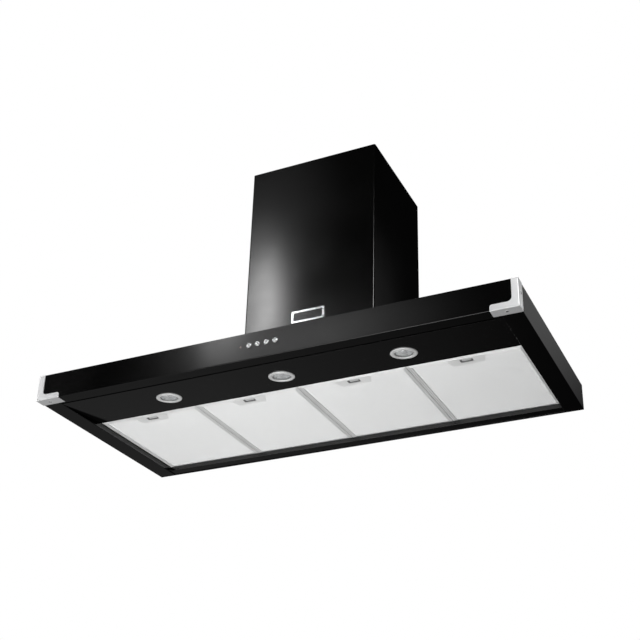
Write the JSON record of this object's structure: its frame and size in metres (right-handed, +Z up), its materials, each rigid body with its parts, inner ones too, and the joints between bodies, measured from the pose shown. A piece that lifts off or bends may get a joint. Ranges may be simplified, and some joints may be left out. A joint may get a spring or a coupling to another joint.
{
  "type": "wall-mounted chimney range hood",
  "caption": "Flat black canopy with chrome front corners, sloping lamp panel, hinged aluminium grease filters, push buttons, a box chimney with a sliding upper cover and a blower inside.",
  "frame": {"origin": "on the wall plane, at the middle of the canopy's width, level with the underside of the canopy", "axes": "+X along the width, to the right seen from the front; +Y into the wall; +Z up; the fascia faces -Y"},
  "size_m": [1.0938, 0.5016, 0.6419],
  "materials": {
    "black_gloss_paint": "smooth black stoved paint, half gloss",
    "chrome": "bright chrome plate",
    "badge_black": "gloss black",
    "galvanised_steel": "dull zinc coated sheet",
    "satin_nickel": "satin nickel plate",
    "lamp_glass": "clear glass",
    "reflector": "faceted mirror coat",
    "bulb_glass": "clear quartz",
    "ceramic": "unglazed white ceramic",
    "filter_aluminium": "satin folded aluminium",
    "filter_mesh": "layered fine aluminium mesh",
    "latch_plastic": "dark grey moulded plastic",
    "spring_steel": "bare spring wire",
    "indicator_red": "dark red lens, unlit",
    "black_plastic": "fine grained black moulding",
    "board_green": "coated circuit board",
    "capacitor_can": "drawn aluminium can"
  },
  "bodies": {
    "hood": {"skirt": "black_gloss_paint", "top_panel": "black_gloss_paint", "rear_panel": "black_gloss_paint", "light_panel": "black_gloss_paint", "bracket_left": "chrome", "bracket_right": "chrome", "screws": "chrome", "badge_frame": "chrome", "badge_plate": "badge_black", "lower_cover": "black_gloss_paint", "lamp_bezels": "satin_nickel", "lamp_glasses": "lamp_glass", "lamp_reflectors": "reflector", "lamp_bulbs": "bulb_glass", "lamp_holders": "ceramic", "indicator_lens": "indicator_red", "control_housing": "black_plastic", "switch_board": "board_green", "base_plate": "galvanised_steel", "mounting_plate": "galvanised_steel", "scroll_housing": "black_plastic", "motor": "galvanised_steel", "motor_bracket": "galvanised_steel", "duct_collar": "black_plastic", "flap_pin": "chrome", "junction_box": "black_plastic", "cable_gland": "black_plastic", "capacitor": "capacitor_can", "transformer": "black_plastic"},
    "upper_chimney": {"upper_cover": "black_gloss_paint", "ceiling_bracket": "galvanised_steel"},
    "fan_wheel": {"impeller": "black_plastic", "motor_shaft": "galvanised_steel"},
    "front_damper": {"front_flap": "galvanised_steel"},
    "rear_damper": {"rear_flap": "galvanised_steel"},
    "filter_1": {"filter_frame_1": "filter_aluminium", "filter_mesh_1": "filter_mesh", "latch_plate_1": "filter_aluminium", "latch_spring_1": "spring_steel"},
    "latch_1": {"latch_slider_1": "latch_plastic"},
    "push_button_1": {"button_1": "chrome"},
    "filter_2": {"filter_frame_2": "filter_aluminium", "filter_mesh_2": "filter_mesh", "latch_plate_2": "filter_aluminium", "latch_spring_2": "spring_steel"},
    "latch_2": {"latch_slider_2": "latch_plastic"},
    "push_button_2": {"button_2": "chrome"},
    "filter_3": {"filter_frame_3": "filter_aluminium", "filter_mesh_3": "filter_mesh", "latch_plate_3": "filter_aluminium", "latch_spring_3": "spring_steel"},
    "latch_3": {"latch_slider_3": "latch_plastic"},
    "push_button_3": {"button_3": "chrome"},
    "filter_4": {"filter_frame_4": "filter_aluminium", "filter_mesh_4": "filter_mesh", "latch_plate_4": "filter_aluminium", "latch_spring_4": "spring_steel"},
    "latch_4": {"latch_slider_4": "latch_plastic"},
    "push_button_4": {"button_4": "chrome"}
  },
  "joints": [
    {"name": "upper_cover_slide", "type": "slide", "parent": "hood", "child": "upper_chimney", "axis": [0, 0, 1], "range_m": [0, 0.4]},
    {"name": "fan_spin", "type": "hinge", "parent": "hood", "child": "fan_wheel", "pos_m": [0, -0.15, 0.182], "axis": [1, 0, 0], "continuous": true},
    {"name": "front_flap_hinge", "type": "hinge", "parent": "hood", "child": "front_damper", "pos_m": [0, -0.084, 0.345], "axis": [-1, 0, 0], "range_deg": [0, 80]},
    {"name": "rear_flap_hinge", "type": "hinge", "parent": "hood", "child": "rear_damper", "pos_m": [0, -0.084, 0.345], "axis": [1, 0, 0], "range_deg": [0, 80]},
    {"name": "filter_1_hinge", "type": "hinge", "parent": "hood", "child": "filter_1", "pos_m": [-0.3765, -0.0263, 0.0118], "axis": [1, 0, 0], "range_deg": [0, 70]},
    {"name": "latch_1_slide", "type": "slide", "parent": "filter_1", "child": "latch_1", "axis": [0, 1, 0], "range_m": [0, 0.005], "stiffness_N_per_m": 250, "springref_m": -0.002, "deforming": ["latch_spring_1"]},
    {"name": "filter_2_hinge", "type": "hinge", "parent": "hood", "child": "filter_2", "pos_m": [-0.1255, -0.0263, 0.0118], "axis": [1, 0, 0], "range_deg": [0, 70]},
    {"name": "latch_2_slide", "type": "slide", "parent": "filter_2", "child": "latch_2", "axis": [0, 1, 0], "range_m": [0, 0.005], "stiffness_N_per_m": 250, "springref_m": -0.002, "deforming": ["latch_spring_2"]},
    {"name": "filter_3_hinge", "type": "hinge", "parent": "hood", "child": "filter_3", "pos_m": [0.1255, -0.0263, 0.0118], "axis": [1, 0, 0], "range_deg": [0, 70]},
    {"name": "latch_3_slide", "type": "slide", "parent": "filter_3", "child": "latch_3", "axis": [0, 1, 0], "range_m": [0, 0.005], "stiffness_N_per_m": 250, "springref_m": -0.002, "deforming": ["latch_spring_3"]},
    {"name": "filter_4_hinge", "type": "hinge", "parent": "hood", "child": "filter_4", "pos_m": [0.3765, -0.0263, 0.0118], "axis": [1, 0, 0], "range_deg": [0, 70]},
    {"name": "latch_4_slide", "type": "slide", "parent": "filter_4", "child": "latch_4", "axis": [0, 1, 0], "range_m": [0, 0.005], "stiffness_N_per_m": 250, "springref_m": -0.002, "deforming": ["latch_spring_4"]},
    {"name": "button_1_push", "type": "slide", "parent": "hood", "child": "push_button_1", "axis": [0, 1, 0], "range_m": [0, 0.002], "stiffness_N_per_m": 600, "springref_m": -0.001},
    {"name": "button_2_push", "type": "slide", "parent": "hood", "child": "push_button_2", "axis": [0, 1, 0], "range_m": [0, 0.002], "stiffness_N_per_m": 600, "springref_m": -0.001},
    {"name": "button_3_push", "type": "slide", "parent": "hood", "child": "push_button_3", "axis": [0, 1, 0], "range_m": [0, 0.002], "stiffness_N_per_m": 600, "springref_m": -0.001},
    {"name": "button_4_push", "type": "slide", "parent": "hood", "child": "push_button_4", "axis": [0, 1, 0], "range_m": [0, 0.002], "stiffness_N_per_m": 600, "springref_m": -0.001}
  ]
}
